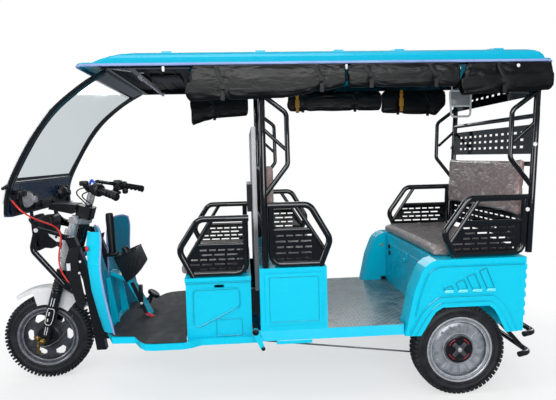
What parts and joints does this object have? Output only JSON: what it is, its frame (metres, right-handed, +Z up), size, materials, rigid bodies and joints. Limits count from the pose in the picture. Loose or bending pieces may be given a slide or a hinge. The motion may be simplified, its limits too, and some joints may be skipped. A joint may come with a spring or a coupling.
{
  "type": "electric passenger auto rickshaw",
  "caption": "Open-sided battery auto rickshaw: one steered front wheel, driver's bench, two facing passenger benches, long roof on tube frames.",
  "frame": {"origin": "on the ground under the middle of the vehicle's box", "axes": "+X to the rear, +Y to the vehicle's right side, +Z up"},
  "size_m": [2.902, 1.08, 1.751],
  "materials": {
    "frame_black": "gloss black paint",
    "body_cyan": "metallic cyan paint",
    "floor_plate": "grey patterned plate",
    "rubber_mat": "matt ribbed",
    "battery_case": "matt",
    "cowl_navy": "dark teal gloss",
    "black_plastic": "satin",
    "grey_board": "light grey",
    "seat_vinyl": "taupe vinyl in clear wrap",
    "clear_screen": "clear",
    "axle_steel": "satin black",
    "rod_steel": "dull",
    "curtain_fabric": "coated black fabric",
    "fork_black": "satin black",
    "spring_steel": "black",
    "fork_bright": "polished",
    "grip_rubber": "matt",
    "mudguard_grey": "pale grey",
    "tyre_rubber": "matt",
    "front_rim_dark": "dark cast with bright edge",
    "rear_rim_silver": "silver",
    "cable_red": "red sheath",
    "lamp_lens": "lamp lens"
  },
  "bodies": {
    "chassis": {"chassis_frame": "frame_black", "front_bow": "frame_black", "middle_hoop": "frame_black", "rear_hoop": "frame_black", "roof_frame": "frame_black", "driver_rails": "frame_black", "middle_rails": "frame_black", "rear_rails": "frame_black", "rear_bumper": "frame_black", "windscreen_frame": "frame_black", "brake_pedal": "frame_black", "cable_clips": "frame_black", "red_cable": "cable_red", "body_lamps": "lamp_lens", "driver_floor": "body_cyan", "driver_seat_box": "body_cyan", "passenger_seat_box": "body_cyan", "rear_body_left": "body_cyan", "rear_body_right": "body_cyan", "rear_seat_base": "body_cyan", "roof_shell": "body_cyan", "leg_shield": "body_cyan", "centre_console": "body_cyan", "brake_crank": "body_cyan", "passenger_floor": "floor_plate", "floor_mat": "rubber_mat", "battery_pack": "battery_case", "front_cowl": "cowl_navy", "shield_inner": "black_plastic", "storage_pocket": "black_plastic", "driver_back_pad": "black_plastic", "front_lamp": "black_plastic", "partition_board": "grey_board", "middle_cushion": "seat_vinyl", "middle_backrest": "seat_vinyl", "rear_backrest": "seat_vinyl", "windscreen_glass": "clear_screen", "rear_axle": "axle_steel", "leaf_springs": "axle_steel", "brake_rod": "rod_steel", "curtain_rolls": "curtain_fabric"},
    "steering": {"fork_sliders": "fork_black", "handlebar": "fork_black", "fork_springs": "spring_steel", "fork_upper": "fork_bright", "handlebar_grips": "grip_rubber", "dash_box": "black_plastic", "front_mudguard": "mudguard_grey"},
    "front_wheel": {"front_tyre": "tyre_rubber", "front_rim": "front_rim_dark"},
    "rear_left_wheel": {"rear_left_tyre": "tyre_rubber", "rear_left_rim": "rear_rim_silver"},
    "rear_right_wheel": {"rear_right_tyre": "tyre_rubber", "rear_right_rim": "rear_rim_silver"},
    "driver_lid": {"driver_seat_lid": "body_cyan", "driver_cushion": "seat_vinyl"},
    "rear_lid": {"rear_seat_lid": "body_cyan", "rear_cushion": "seat_vinyl"},
    "left_door": {"box_door_left": "body_cyan"},
    "right_door": {"box_door_right": "body_cyan"}
  },
  "joints": [
    {"name": "steer", "type": "hinge", "parent": "chassis", "child": "steering", "pos_m": [-1.00607, 0, 0.80507], "axis": [0.284, 0, 0.9588], "range_deg": [-40, 40]},
    {"name": "front_wheel_spin", "type": "hinge", "parent": "steering", "child": "front_wheel", "pos_m": [-1.211, 0, 0.24], "axis": [0, 1, 0], "continuous": true},
    {"name": "rear_left_wheel_spin", "type": "hinge", "parent": "chassis", "child": "rear_left_wheel", "pos_m": [0.986, -0.464, 0.234], "axis": [0, 1, 0], "continuous": true},
    {"name": "rear_right_wheel_spin", "type": "hinge", "parent": "chassis", "child": "rear_right_wheel", "pos_m": [0.986, 0.464, 0.234], "axis": [0, 1, 0], "continuous": true},
    {"name": "driver_lid_hinge", "type": "hinge", "parent": "chassis", "child": "driver_lid", "pos_m": [-0.383, 0, 0.6343], "axis": [0, -1, 0], "range_deg": [0, 50]},
    {"name": "rear_lid_hinge", "type": "hinge", "parent": "chassis", "child": "rear_lid", "pos_m": [1.309, 0, 0.697], "axis": [0, 1, 0], "range_deg": [0, 55]},
    {"name": "left_door_hinge", "type": "hinge", "parent": "chassis", "child": "left_door", "pos_m": [0.014, -0.4983, 0.531], "axis": [0, 0, -1], "range_deg": [0, 100]},
    {"name": "right_door_hinge", "type": "hinge", "parent": "chassis", "child": "right_door", "pos_m": [0.014, 0.4983, 0.531], "axis": [0, 0, 1], "range_deg": [0, 100]}
  ]
}
